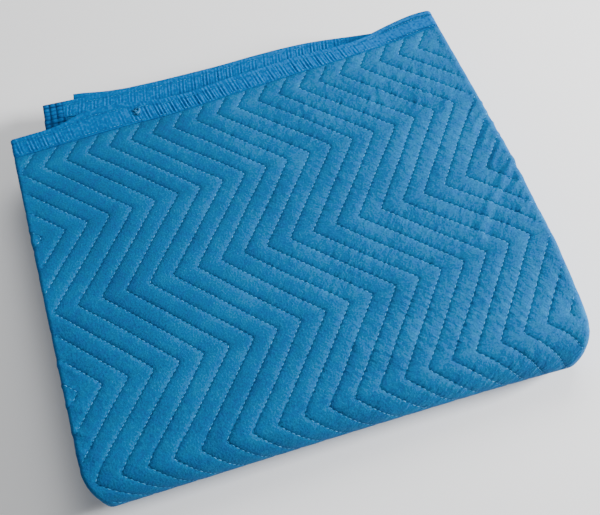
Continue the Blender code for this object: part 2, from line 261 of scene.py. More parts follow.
# How far the five rows of corners on top stray along the length, in columns, at seven places
CORNER_ROWS = (-14.576, -10.932, -7.288, -3.644, 0.0)
CORNER_PLACES = (0, 3, 6, 9, 12, 15, 18)
CORNER_STRAYS = (
    (0.21, 0.05, -0.05, -0.09, 0.00, 0.03, 0.16),
    (0.18, 0.00, -0.10, -0.03, 0.00, 0.06, 0.22),
    (0.14, 0.05, 0.00, -0.09, -0.12, -0.05, 0.20),
    (0.13, 0.15, 0.06, 0.03, 0.04, 0.03, 0.24),
    (0.04, 0.04, -0.04, -0.04, 0.00, 0.08, 0.19),
)


def corner_stray(length, x):
    """The corners' stray at any place, from the table's rows and places."""
    at_x = [np.interp(x, CORNER_PLACES, values) for values in CORNER_STRAYS]
    total = 0.0
    for number, values in enumerate(at_x):
        share = np.interp(length, CORNER_ROWS, np.eye(len(CORNER_ROWS))[number])
        total = total + share * values
    return total


def cloth_length(rows, x):
    """How far along the cloth a point is, in columns, as the stitch lines count it."""
    stray = np.where(rows["run"] == LEG_1, shift_at(rows, x), through(FRONT_SHIFT, x))
    length = rows["along"] + stray
    return length - corner_stray(length, x)


# %% From the pack to the room
def world(rows, x, offset):
    """The point at x columns, and offset metres outward from the middle of the pack."""
    y = rows["y"] + offset * rows["out_y"] + shift_at(rows, x) * COLUMN
    z = rows["z"] + offset * rows["out_z"] + FLOOR_LIFT
    on_leg_4 = rows["run"] == LEG_4
    in_c = np.clip((2.4 * MM - np.abs(offset + 0.5 * LAYER)) / (0.8 * MM), 0.0, 1.0)
    in_ab = np.clip(offset / (0.4 * MM), 0.0, 1.0)
    step = np.clip(offset + 1.5 * LAYER, 0.0, LAYER_STEP)
    step = step + (in_c * wander(SLIPPED_C, x) + in_ab * wander(SLIPPED_AB, x)) * MM
    step = step * ease(4 * rows["share"] - 3)
    y = y + np.where(on_leg_4, step, 0.0)
    hang = DROOP * np.maximum(1 - (HEM_TWO_Y * COLUMN - rows["y"]) / UNDER_TAPE, 0.0)
    z = z - np.where(on_leg_4, hang, 0.0)
    front = (FRONT_FOLD_Y + through(FRONT_SHIFT, x)) * COLUMN - 8 * LAYER
    behind = np.clip(1 - (y - front) / CORNER_DEEP, 0.0, 1.0)
    round_off = 1 - np.sqrt(1 - behind * behind)
    left, right = EDGES[2, 0] * COLUMN, EDGES[2, 1] * COLUMN
    from_left = np.maximum(1 - (x * COLUMN - left) / CORNER_REACH, 0.0)
    from_right = np.maximum(1 - (right - x * COLUMN) / CORNER_REACH, 0.0)
    moved = x * COLUMN + round_off * (CORNER_WIDE[0] * from_left - CORNER_WIDE[1] * from_right)
    swell = sum(h * np.sin(a * x + b * y / COLUMN + phase) for h, a, b, phase in SWELLS)
    points = np.stack(np.broadcast_arrays(moved - ORIGIN[0], y - ORIGIN[1], z * (1 + swell)), -1)
    return points


# %% [markdown]
# Across the pack, the cloth's middle line runs flat in each layer and in half circles round the
# folds. The rule below takes a place across the flat cloth and gives its x, its offset from the
# middle of the pack, and the way its outer face looks.

# %% From the flat cloth to the pack
TURN_RIGHT = 1.5 * math.pi * LAYER / COLUMN  # cloth taken up by each fold, in columns
TURN_LEFT = 0.5 * math.pi * LAYER / COLUMN


def cloth_ends(rows):
    """Where the cloth's two side edges are, counted across the flat cloth."""
    d_edge = rows["right"] + TURN_RIGHT + rows["right"] - rows["d_end"]
    c_turn = rows["left"] - TURN_LEFT - (rows["inner"] - rows["left"])
    c_edge = c_turn - TURN_LEFT - (rows["inner"] - rows["c_end"])
    return d_edge, c_turn, c_edge


def on_pack(rows, across):
    """x, offset and outward direction of places counted across the flat cloth."""
    left, right, inner = rows["left"], rows["right"], rows["inner"]
    past_right = (across - right) * COLUMN
    past_left = (left - across) * COLUMN
    past_b = past_left - (TURN_LEFT + inner - left) * COLUMN
    over = math.pi / 2 - np.clip(past_right / (1.5 * LAYER), 0, math.pi)
    under = math.pi / 2 + np.clip(past_left / (0.5 * LAYER), 0, math.pi)
    inside = math.pi / 2 - np.clip(past_b / (0.5 * LAYER), 0, math.pi)
    where = [
        past_right > TURN_RIGHT * COLUMN,
        past_right > 0,
        past_left < 0,
        past_left < TURN_LEFT * COLUMN,
        past_b < 0,
        past_b < TURN_LEFT * COLUMN,
    ]
    x = np.select(
        where,
        [
            right - (past_right / COLUMN - TURN_RIGHT),
            right + 1.5 * LAYER * np.cos(over) / COLUMN,
            across + 0 * left,
            left + 0.5 * LAYER * np.cos(under) / COLUMN,
            left + past_left / COLUMN - TURN_LEFT,
            inner + 0.5 * LAYER * np.cos(inside) / COLUMN,
        ],
        inner - (past_b / COLUMN - TURN_LEFT),
    )
    offset = np.select(
        where,
        [
            -1.5 * LAYER,
            1.5 * LAYER * np.sin(over),
            1.5 * LAYER,
            LAYER + 0.5 * LAYER * np.sin(under),
            0.5 * LAYER,
            0.5 * LAYER * np.sin(inside),
        ],
        -0.5 * LAYER,
    )
    out_x = np.select(where, [0, np.cos(over), 0, np.cos(under), 0, -np.cos(inside)], 0)
    out_up = np.select(where, [-1, np.sin(over), 1, np.sin(under), -1, -np.sin(inside)], 1)
    return x, offset, out_x, out_up


def lift(rows, across, height):
    """The point at a height above the cloth's middle line, on the side of its outer face."""
    x, offset, out_x, out_up = on_pack(rows, across)
    return world(rows, x + out_x * height / COLUMN, offset + out_up * height)


# %% [markdown]
# ## The quilting
#
# The stitch lines are parallel zigzags, one a column, that run from hem to hem. A needle pulls the
# faces together on each line and the wadding fills out between, so the height of the face depends
# on the distance from the nearest line: steep beside the seam, and nearly flat half way across.
# The corners of a sewn zigzag are a little round, because the cloth turns under the needle.

# %% The zigzag lines
ZIGZAG_REACH = 3.25  # sideways travel of a line, in columns
ZIGZAG_MIDDLE = 1.574  # from its column to the middle of that travel
ZIGZAG_PERIOD = 7.288  # and its repeat along the length
CORNER_SHARP = 0.9997  # rounds the corners by about half a millimetre
LEAN = math.cos(math.atan(2 * ZIGZAG_REACH / ZIGZAG_PERIOD))
ROW_HALF = COLUMN * LEAN / 2  # from a line to half way to the next, square to it
STRAYS = ((0.016, 0.9, 0.55, 0.3), (0.012, -1.7, 1.3, 1.9), (0.008, 3.1, -2.6, 4.0))


def zigzag(length):
    """How far right of its own column a line is, in columns."""
    wave = np.sin(2 * math.pi * length / ZIGZAG_PERIOD - math.pi / 2)
    return ZIGZAG_MIDDLE + ZIGZAG_REACH * np.arcsin(CORNER_SHARP * wave) / math.pi


def stray(line, length):
    """The small waviness of hand-guided sewing, in columns."""
    return sum(h * np.sin(a * line + b * length + phase) for h, a, b, phase in STRAYS)


def line_place(rows, line):
    """Where a stitch line lies across the cloth, at each row."""
    x = line + ZIGZAG_MIDDLE
    for _ in range(3):
        length = cloth_length(rows, np.clip(x, -1.4, 19.8))
        x = line + zigzag(length) + stray(line, length)
    return x


def line_number(rows, across):
    """Which stitch line a place is on; between two lines it is a fraction."""
    length = cloth_length(rows, np.clip(across, -1.4, 19.8))
    flat = across - zigzag(length)
    return flat - stray(flat, length)


# %% [markdown]
# Cloth that is folded and carried also keeps creases. The main ones are listed: a
# long ridge that runs in from the right edge, wrinkles in the back right corner, a fan of short
# ones along the right fold, and puckers beside the left fold. Each is a soft ridge or trough along
# a few points, with its height and width.

# %% Creases placed one by one
# Height in mm, width in mm, and points as x, y in columns
CREASES = (
    (2.0, 3.2, ((19.4, -7.1), (18.2, -8.3), (17.3, -9.0), (16.4, -9.9), (16.0, -10.6))),
    (-1.2, 3.0, ((19.3, -7.6), (18.0, -8.75), (17.0, -9.7), (16.3, -10.6))),
    (2.0, 2.0, ((17.1, -1.9), (16.85, -2.5), (16.5, -3.3))),
    (1.6, 2.0, ((16.8, -1.3), (16.65, -1.7), (16.45, -2.1))),
    (1.5, 1.9, ((16.5, -1.1), (16.4, -1.4), (16.25, -1.8))),
    (1.5, 1.9, ((16.1, -1.3), (15.95, -1.7), (15.8, -2.1))),
    (-0.8, 2.6, ((17.5, -1.0), (17.45, -1.4), (17.3, -1.8))),
    (0.8, 2.0, ((17.9, -0.5), (17.6, -1.2), (17.5, -1.6))),
    (1.3, 2.0, ((15.4, -1.5), (15.2, -2.1), (15.1, -2.6))),
    (1.1, 2.0, ((14.8, -1.6), (14.6, -2.5))),
    (1.3, 2.2, ((17.4, -2.5), (17.0, -3.2), (16.8, -3.6))),
    (1.2, 2.2, ((18.2, -3.0), (17.8, -3.5), (17.6, -4.0))),
    (1.2, 3.0, ((9.8, -12.6), (10.0, -13.1))),
    (0.9, 3.0, ((10.2, -13.3), (10.6, -13.9))),
    (0.8, 3.0, ((10.8, -13.4), (11.1, -14.1))),
    (0.9, 2.6, ((-1.3, -3.0), (-0.7, -3.7))),
    (0.7, 2.4, ((-1.3, -3.5), (-0.9, -4.2))),
)
FAN = (  # x where it starts, y where it starts, how far it runs in, how far it runs forward, height
    (19.5, -3.9, 1.1, 0.7, 0.6),
    (19.5, -4.4, 1.5, 1.2, 0.7),
    (19.4, -5.1, 1.2, 1.3, 0.8),
    (19.4, -5.7, 1.0, 1.0, 0.6),
    (19.3, -6.2, 1.3, 1.5, 0.8),
    (19.3, -6.8, 0.9, 0.9, 0.6),
    (19.2, -8.2, 1.2, 1.1, 0.8),
    (19.1, -8.7, 0.9, 1.2, 0.7),
    (19.1, -9.3, 1.3, 1.0, 0.6),
    (-1.4, -9.4, -0.8, 0.9, 0.6),
    (-1.4, -10.3, -0.7, 0.8, 0.7),
    (-1.4, -11.2, -0.9, 0.8, 0.6),
    (-1.3, -12.3, -0.8, 0.9, 0.7),
    (-1.3, -13.2, -0.8, 0.7, 0.6),
)
fan_creases = tuple(
    (1.4 * h, 2.2, ((x, y), (x - run_in * 0.6, y - forward * 0.5), (x - run_in, y - forward)))
    for x, y, run_in, forward, h in FAN
)


def crease_height(x, y):
    """Height of all creases at x, y in columns on the top, in metres."""
    total = np.zeros(np.broadcast(x, y).shape)
    for height, width, points in CREASES + fan_creases:
        best = np.full(total.shape, 1e9)
        taper = np.zeros(total.shape)
        for number, ((ax, ay), (bx, by)) in enumerate(zip(points, points[1:])):
            dx, dy = bx - ax, by - ay
            share = ((x - ax) * dx + (y - ay) * dy) / (dx * dx + dy * dy)
            near = np.clip(share, 0, 1)
            far = np.hypot(x - ax - near * dx, y - ay - near * dy)
            run = (number + near) / (len(points) - 1)
            closer = far < best
            best = np.where(closer, far, best)
            taper = np.where(closer, ease(5 * (1 - run)) * ease(0.4 + 5 * run), taper)
        total += height * MM * taper * np.exp(-((best * COLUMN / (width * MM)) ** 2))
    return total


print("creases:", len(CREASES + fan_creases))

# %% [markdown]
# The full height rule joins the quilting, the waves that the seams pull into the cloth, and the
# creases. Where cloth lies on the floor or between layers it is pressed flat, so the crowns there
# stop at one height.

# %% Height of the outer face
TOP_CROWN = 1.8 * MM
TOP_VALLEY = 0.6 * MM
PUCKERS = ((0.12, 15.0, 0.0), (0.12, 9.5, 2.0))  # mm high, mm long, phase


def from_hems(rows):
    """The distance from the nearer hem, in metres."""
    one = (HEM_ONE_Y - rows["along"]) * COLUMN
    two = (rows["along"] - CLOTH_END) * COLUMN
    return np.minimum(one, two)


def face_height(rows, across):
    """Half the quilt's thickness on the side of the outer face, at each place."""
    x, _, _, _ = on_pack(rows, across)
    line = line_number(rows, across)
    off_line = np.abs(line - np.round(line)) * 2  # 0 on a line, 1 half way to the next
    arch = (1 - (1 - off_line) ** 3.2) ** 0.85
    length = cloth_length(rows, x)
    soft = 1 + 0.10 * np.sin(0.8 * np.floor(line) * 2.4 + length * 0.9)
    puckers = 0.0
    for height, wave, phase in PUCKERS:
        turn = length * COLUMN / LEAN / (wave * MM) * 2 * math.pi
        puckers = puckers + height * MM * np.sin(turn + phase + 2.4 * np.floor(line))
    puckers = puckers * np.exp(-off_line * ROW_HALF / (4.5 * MM)) * (off_line > 0.02)
    beside = np.minimum(rows["right"] - across, across - rows["left"])
    depth = 0.40 + 0.60 * ease((beside + 0.15) / 0.5)
    low = np.where(rows["run"] == OUTER_FRONT, ease(rows["angle"] - 0.3), 0.0)
    depth = depth * (1 - 0.45 * low)
    height = TOP_CROWN - (TOP_CROWN - TOP_VALLEY) * (1 - arch * soft) * depth + puckers
    top = (rows["run"] == LEG_1) | ((rows["run"] == OUTER_FRONT) & (rows["angle"] < 1.2))
    height = height + np.where(top, crease_height(x, length), 0.0)
    flat = np.where(
        rows["run"] == LEG_1, 0.0, np.where(rows["run"] == OUTER_FRONT, ease(rows["angle"] - 1.2), 1.0)
    )
    height = height + (np.minimum(height, CROWN) - height) * flat
    past_right = across - rows["right"] - TURN_RIGHT
    past_left = rows["left"] - TURN_LEFT - across
    hidden = ease(np.maximum(past_right, past_left) / 0.2)
    height = height + (CROWN - height) * hidden
    d_edge, _, c_edge = cloth_ends(rows)
    from_side = np.minimum(d_edge - across, across - c_edge) * COLUMN
    free = ease((np.minimum(from_hems(rows), from_side) - 25.0 * MM) / (2.5 * MM))
    return PRESSED + (height - PRESSED) * free


# %% [markdown]
# ## One mesh for the whole quilt
#
# The quilt is one closed mesh: a grid whose rows follow the length and whose columns run round the
# section, over the outer face and back over the inner one. The columns slide sideways with the
# zigzag, so edges run exactly along the seams and the seams stay crisp. Where less detail is
# needed, neighbouring columns are laid on the same points, and welding them thins the mesh.


# %% Two skins, one closed cloth
def closed_cloth(name, over, under, facts):
    """A closed mesh from an outer and an inner skin, each rows by columns of points."""
    for end in (0, -1):
        middle = (over[end] + under[end]) / 2
        over[end], under[end] = middle, middle
    points = np.concatenate([over, under[:, ::-1], over[:, :1]], axis=1)
    facts = np.concatenate([facts, facts[:, ::-1], facts[:, :1]], axis=1)
    rows, columns = points.shape[:2]
    mesh = bmesh.new()
    bmesh.ops.create_grid(mesh, x_segments=columns - 1, y_segments=rows - 1, size=0.5)
    data = bpy.data.meshes.new(name)
    mesh.to_mesh(data)
    assert len(data.vertices) == rows * columns
    data.vertices.foreach_set("co", points.astype(np.float32).ravel())
    seams = data.attributes.new("seams", "FLOAT_VECTOR", "POINT")
    seams.data.foreach_set("vector", facts.astype(np.float32).ravel())
    mesh.clear()
    mesh.from_mesh(data)
    bmesh.ops.remove_doubles(mesh, verts=mesh.verts, dist=0.00002)
    bmesh.ops.recalc_face_normals(mesh, faces=mesh.faces)
    mesh.to_mesh(data)
    triangles = sum(len(face.verts) - 2 for face in mesh.faces)
    opened = sum(1 for edge in mesh.edges if len(edge.link_faces) != 2)
    mesh.free()
    data.shade_smooth()
    piece = bpy.data.objects.new(name, data)
    bpy.context.scene.collection.objects.link(piece)
    print(name, "triangles", triangles, "open edges", opened)
    return piece


# %% Rows along the quilt
HALF_PERIOD = ZIGZAG_PERIOD / 2
FINE_STEP = HALF_PERIOD / 33  # 2.8 mm
ROW_STEPS = {LEG_2: HALF_PERIOD / 10, LEG_3: HALF_PERIOD / 6, LEG_4: HALF_PERIOD / 6}
HEM_ROWS = np.array((0.0, 8.0, 16.0, 24.0, 25.0, 26.0)) * MM / COLUMN


def run_rows(number, step, skip=0.0):
    """Places on one run, at whole steps of the zigzag, from its start up to the next run."""
    start, end = run_starts[number] - skip, run_starts[number + 1]
    first = math.floor(start / step - 0.3)
    steps = step * np.arange(first, math.ceil(end / step + 0.3) - 1, -1)
    steps = steps[(steps < start - 0.3 * step) & (steps > end + 0.3 * step)]
    return np.concatenate([[start], steps])


quilt_rows = [(LEG_1, value) for value in HEM_ONE_Y - HEM_ROWS[:-1]]
quilt_rows += [(LEG_1, value) for value in run_rows(LEG_1, FINE_STEP, HEM_ROWS[-1])]
quilt_rows += [(OUTER_FRONT, value) for value in run_rows(OUTER_FRONT, FINE_STEP)]
quilt_rows += [(LEG_2, value) for value in run_rows(LEG_2, ROW_STEPS[LEG_2])]
quilt_rows += [(BACK, run_starts[BACK] - run_lengths[BACK] * n / 10) for n in range(10)]
quilt_rows += [(LEG_3, value) for value in run_rows(LEG_3, ROW_STEPS[LEG_3])]
inner_front_step = run_lengths[INNER_FRONT] / 8
quilt_rows += [(INNER_FRONT, run_starts[INNER_FRONT] - inner_front_step * n) for n in range(8)]
leg_4_rows = run_rows(LEG_4, ROW_STEPS[LEG_4])
leg_4_rows = leg_4_rows[leg_4_rows > CLOTH_END + 1.3]
quilt_rows += [(LEG_4, value) for value in leg_4_rows]
quilt_rows += [(LEG_4, value) for value in (CLOTH_END + HEM_ROWS)[::-1]]
quilt_run, quilt_along = zip(*quilt_rows)
quilt_places = rows_at(quilt_run, quilt_along)
print("rows along the quilt:", len(quilt_rows))

# %% Columns round the section
LINES = range(-5, 21)
FINE = np.array((-11.0, -7.6, -4.6, -2.4, -1.0, 0.0, 1.0, 2.4, 4.6, 7.6, 11.0)) * MM / COLUMN
SPARSE = np.array((-12.7, -7.6, -7.6, -2.0, -2.0, 0.0, 2.0, 2.0, 7.6, 7.6, 12.7)) * MM / COLUMN
MARGIN = 0.25  # the columns don't slide this near to a fold, in columns
EDGE_STEPS = np.array((0.0, 8.0, 16.0, 25.0, 27.5)) * MM / COLUMN


def between(start, end, steps, last=False):
    """Even places from start to end, one row each, without the last unless it is asked for."""
    shares = np.arange(steps + (1 if last else 0)) / steps
    return start + (end - start) * shares


def round_places(rows, sliding):
    """Places across the cloth from D's edge to C's, with the sliding columns on top."""
    left, right = rows["left"], rows["right"]
    d_edge, c_turn, c_edge = cloth_ends(rows)
    low, high = left + MARGIN, right - MARGIN
    groups = [
        d_edge - EDGE_STEPS[:-1],
        between(d_edge - EDGE_STEPS[-1], right + TURN_RIGHT + MARGIN, 8),
        between(right + TURN_RIGHT + MARGIN, right + TURN_RIGHT, 4),
        between(right + TURN_RIGHT, right, 12),
        between(right, high, 4),
        np.clip(sliding, low, high),
        between(low, left, 4),
        between(left, left - TURN_LEFT, 8),
        between(left - TURN_LEFT, c_turn, 8),
        between(c_turn, c_turn - TURN_LEFT, 6),
        between(c_turn - TURN_LEFT, c_edge + EDGE_STEPS[-1], 7),
        c_edge + EDGE_STEPS[::-1],
    ]
    return np.concatenate(groups, axis=1)


def sliding_places(rows):
    """The columns that follow the stitch lines, from right to left."""
    sparse = (rows["run"] != LEG_1) & (rows["run"] != OUTER_FRONT)
    found = []
    for line in reversed(LINES):
        base = line_place(rows, line)
        for fine, wide in zip(FINE[::-1], SPARSE[::-1]):
            found.append(base + np.where(sparse, wide, fine))
    return np.concatenate(found, axis=1)


quilt_across = round_places(quilt_places, sliding_places(quilt_places))
print("columns round the quilt:", quilt_across.shape[1])

# %% [markdown]
# The inner skin never shows, so its columns are laid on a few dozen shared points. Only the first
# and the last row keep them all, where the two skins meet and close inside the tape.


# %% Build the quilt
def shared_places(across, keep):
    """The same columns, laid on every keep-th of them except in the first and last rows."""
    numbers = np.arange(across.shape[1])
    snapped = (numbers // keep) * keep
    snapped[-1] = numbers[-1]
    found = across[:, snapped]
    found[0], found[-1] = across[0], across[-1]
    return found


def inner_columns(rows, across):
    """Columns of the inner skin: all in the flat and round parts, few on the wide top."""
    first_slide = 4 + 8 + 4 + 12 + 4
    slides = len(LINES) * len(FINE)
    found = across.copy()
    middle = across[:, first_slide : first_slide + slides]
    found[:, first_slide : first_slide + slides] = shared_places(middle, 26)
    found[0], found[-1] = across[0], across[-1]
    return found


def seam_facts(rows, across):
    """For the material: the stitch line, the count of stitches along it, and which way it leans."""
    line = line_number(rows, across)
    count = rows["along"] / STITCH_STEP + 0 * line
    length = cloth_length(rows, np.clip(across, -1.4, 19.8))
    lean = np.cos(2 * math.pi * length / ZIGZAG_PERIOD - math.pi / 2)
    return np.stack([line, count, np.clip(2.5 * lean, -1.0, 1.0)], -1)


STITCH_LENGTH = 5.5 * MM
STITCH_STEP = STITCH_LENGTH * LEAN / COLUMN  # along the cloth, in columns

over = lift(quilt_places, quilt_across, face_height(quilt_places, quilt_across))
inner_across = inner_columns(quilt_places, quilt_across)
d_edge, _, c_edge = cloth_ends(quilt_places)
side_gap = np.minimum(d_edge - inner_across, inner_across - c_edge) * COLUMN
inner_free = ease((np.minimum(from_hems(quilt_places), side_gap) - 25 * MM) / (2.5 * MM))
under = lift(quilt_places, inner_across, -PRESSED - (CROWN - PRESSED) * inner_free)
quilt = closed_cloth("quilt_cloth", over, under, seam_facts(quilt_places, quilt_across))

# %% [markdown]
# ## The stitches
#
# A sewing machine leaves a row of short threads, here 5.5 mm long, each pulled down at both ends
# where the needle went through. One stitch is modelled as a small rice grain, from a sphere with a
# few faces. It is then repeated thousands of times, and each copy is laid on its seam. The thread
# is drawn about twice as thick as the real one, so that it shows at this distance.


# %% One stitch, many times
def stitch_template():
    """A rice grain one unit long, wide and high."""
    mesh = bmesh.new()
    bmesh.ops.create_uvsphere(mesh, u_segments=5, v_segments=5, radius=0.5)
    bmesh.ops.rotate(mesh, verts=mesh.verts, matrix=Matrix.Rotation(math.pi / 2, 3, "Y"))
    data = bpy.data.meshes.new("stitch_grain")
    mesh.to_mesh(data)
    mesh.free()
    return data


def repeated(data, count):
    """One mesh that holds count copies, in order."""
    holder = bpy.data.objects.new("stitch_holder", data)
    bpy.context.scene.collection.objects.link(holder)
    array = holder.modifiers.new("copies", "ARRAY")
    array.count = count
    array.use_merge_vertices = False
    graph = bpy.context.evaluated_depsgraph_get()
    made = bpy.data.meshes.new_from_object(holder.evaluated_get(graph))
    bpy.data.objects.remove(holder)
    return made


def laid_stitches(name, starts, ends, outward, width, height):
    """Lays one stitch between each start and end, raised along outward."""
    grain = stitch_template()
    unit = np.array([vertex.co[:] for vertex in grain.vertices])
    made = repeated(grain, len(starts))
    run = ends - starts
    length = np.linalg.norm(run, axis=1, keepdims=True)
    ahead = run / length
    side = np.cross(outward, ahead)
    side /= np.linalg.norm(side, axis=1, keepdims=True)
    up = np.cross(ahead, side)
    middle = (starts + ends) / 2
    bow = 0.25 - unit[:, 0] ** 2
    points = middle[:, None] + unit[None, :, :1] * run[:, None]
    points = points + unit[None, :, 1:2] * width * side[:, None]
    points = points + (unit[None, :, 2:] + bow[None, :, None] * 1.6 - 0.2) * height * up[:, None]
    made.name = name
    made.vertices.foreach_set("co", points.astype(np.float32).ravel())
    made.update()
    made.shade_smooth()
    piece = bpy.data.objects.new(name, made)
    bpy.context.scene.collection.objects.link(piece)
    print(name, len(starts), "stitches,", len(made.polygons), "faces")
    return piece


# %% Lay the quilting stitches
LINE_PHASE = 0.37  # each line's needle marks start a little further on
THREAD_WIDTH = 0.95 * MM
THREAD_HEIGHT = 0.45 * MM


def seam_points(line, run, along):
    """Points on one seam, their outward direction, and which of them show."""
    rows = rows_at(np.full(len(along), run), along)
    across = line_place(rows, line)
    height = face_height(rows, across)
    points = lift(rows, across, height)[:, 0]
    outward = lift(rows, across, height + MM)[:, 0] - points
    past = np.maximum(across - rows["right"] - TURN_RIGHT, rows["left"] - TURN_LEFT - across)
    on_side = np.maximum(across - rows["right"] + 0.1, rows["left"] + 0.1 - across) > 0
    shown = (past < 0.02) & (on_side | (run in (LEG_1, OUTER_FRONT, LEG_2, BACK)))
    return points, outward, shown[:, 0]


starts, ends, outwards = [], [], []
for run in range(7):
    for line in LINES:
        first = (run_starts[run] - (0.98 if run == LEG_1 else 0.0)) / STITCH_STEP
        last = (run_starts[run + 1] + (1.0 if run == LEG_4 else 0.0)) / STITCH_STEP
        marks = np.arange(math.floor(first), math.ceil(last), -1) - LINE_PHASE * line % 1.0
        marks = marks[(marks <= first) & (marks - 1 >= last)]
        begin, turned_out, shown = seam_points(line, run, (marks - 0.09) * STITCH_STEP)
        finish, _, _ = seam_points(line, run, (marks - 0.91) * STITCH_STEP)
        starts.append(begin[shown])
        ends.append(finish[shown])
        outwards.append(turned_out[shown])
stitches = laid_stitches(
    "quilting_stitches",
    np.concatenate(starts),
    np.concatenate(ends),
    np.concatenate(outwards),
    THREAD_WIDTH,
    THREAD_HEIGHT,
)

# %% [markdown]
# ## The tape round the edges
#
# The edges are bound with a tape, folded lengthwise over the cut edge and sewn through. Because
# the sewing takes up a little less tape than cloth, it gathers into fine ribs across its width
# between its two rows of stitches. The tape is a thin shell with a C-shaped section. The ribs are
# real relief along the stretches that show, and the hidden stretches have few faces. At D's corner
# the two tapes cross, and there they are sewn in small squares, which stand up between the seams.

# %% The section of the tape
TAPE = 0.5 * MM
GAP = 0.3 * MM
SKIN = PRESSED + GAP + TAPE
LINING = PRESSED + GAP
# Outer skin: how far in from the edge and how high, in mm; the visible face has more points
FACE_STEPS = (
    25.0, 24.6, 23.6, 22.4, 21.0, 20.0, 18.8, 17.4, 15.8, 14.0, 12.5, 11.0, 9.2, 7.6, 6.3, 5.0, 3.4, 1.6,
    0.2,
)
BACK_STEPS = (0.2, 5.0, 12.0, 19.0, 25.0)


def tape_section():
    """Inward distances, and heights of the outer and the inner skin, in metres."""
    inward = np.array(FACE_STEPS + (-0.55, -0.85, -0.85, -0.55) + BACK_STEPS) * MM
    skin, lining = SKIN / MM, LINING / MM
    outer = [skin] * len(FACE_STEPS) + [0.8 * skin, 0.3 * skin, -0.3 * skin, -0.8 * skin]
    outer += [-skin] * len(BACK_STEPS)
    inner = [lining] * len(FACE_STEPS) + [lining, 0.3 * skin, -0.3 * skin, -lining]
    inner += [-lining] * len(BACK_STEPS)
    inner_in = np.maximum(inward, -GAP)
    return inward, np.array(outer) * MM, inner_in, np.array(inner) * MM


SEAM_ROWS = (22.6 * MM, 6.2 * MM)  # the two rows of stitches, from the edge
RIB_WAVES = ((1.0, 3.7, 0.4), (0.8, 4.9, 1.3), (0.45, 2.7, 4.4))
# How strongly the tape is gathered, at places across in columns
RIB_STRENGTH = (
    (-1.4, 0.7), (0.4, 0.9), (1.6, 0.35), (3.4, 0.45), (4.8, 0.9), (6.0, 1.15), (9.0, 1.0), (11.0, 0.75),
    (13.0, 1.1), (16.0, 1.15), (17.2, 0.5), (18.4, 0.2), (19.6, 0.2),
)
PATCH_WIDE = 23.0 * MM  # the stitched square at D's corner
PATCH_CELL = (7.7 * MM, 6.25 * MM)


RIB_HEIGHT = 0.46 * MM
PATCH_HEIGHT = 1.5 * MM
PATCH_SINK = 0.6 * MM  # how far its seams lie below the plain tape
SEAM_SINK = 0.5 * MM
SEAM_WIDTH = 1.2 * MM


def rib_height(way, inward):
    """Height of the gathered ribs, at a way along the tape and a distance from its edge."""
    lean = inward * 0.18
    wave = sum(h * np.sin((way + lean) / (w * MM) * 2 * math.pi + p) for h, w, p in RIB_WAVES)
    uneven = 0.62 + 0.38 * np.sin(way / 0.037 + 1.0) * np.sin(way / 0.083 + 0.4)
    inside = (inward - SEAM_ROWS[1]) / (SEAM_ROWS[0] - SEAM_ROWS[1])
    window = np.where((inside > 0) & (inside < 1), 0.55 + 0.45 * np.clip(inside, 0, 1), 0.3)
    return RIB_HEIGHT * wave * uneven * window


def patch_height(way, inward):
    """The corner of D is sewn in small squares, which stand up between their seams."""
    bulge = np.abs(np.sin(math.pi * way / PATCH_CELL[0]) * np.sin(math.pi * inward / PATCH_CELL[1]))
    return PATCH_HEIGHT * np.sqrt(bulge) - PATCH_SINK


def seam_dip(inward):
    """The two seams pull the tape down."""
    return -sum(SEAM_SINK * np.exp(-(((inward - row) / SEAM_WIDTH) ** 2)) for row in SEAM_ROWS)


# %% The tape over a hem
SEAM_COLUMNS = (3, 14)  # the points of the section on the two rows of stitches
TAPE_STEP = 0.85  # mm along the tape where its ribs show
tape_seams = []


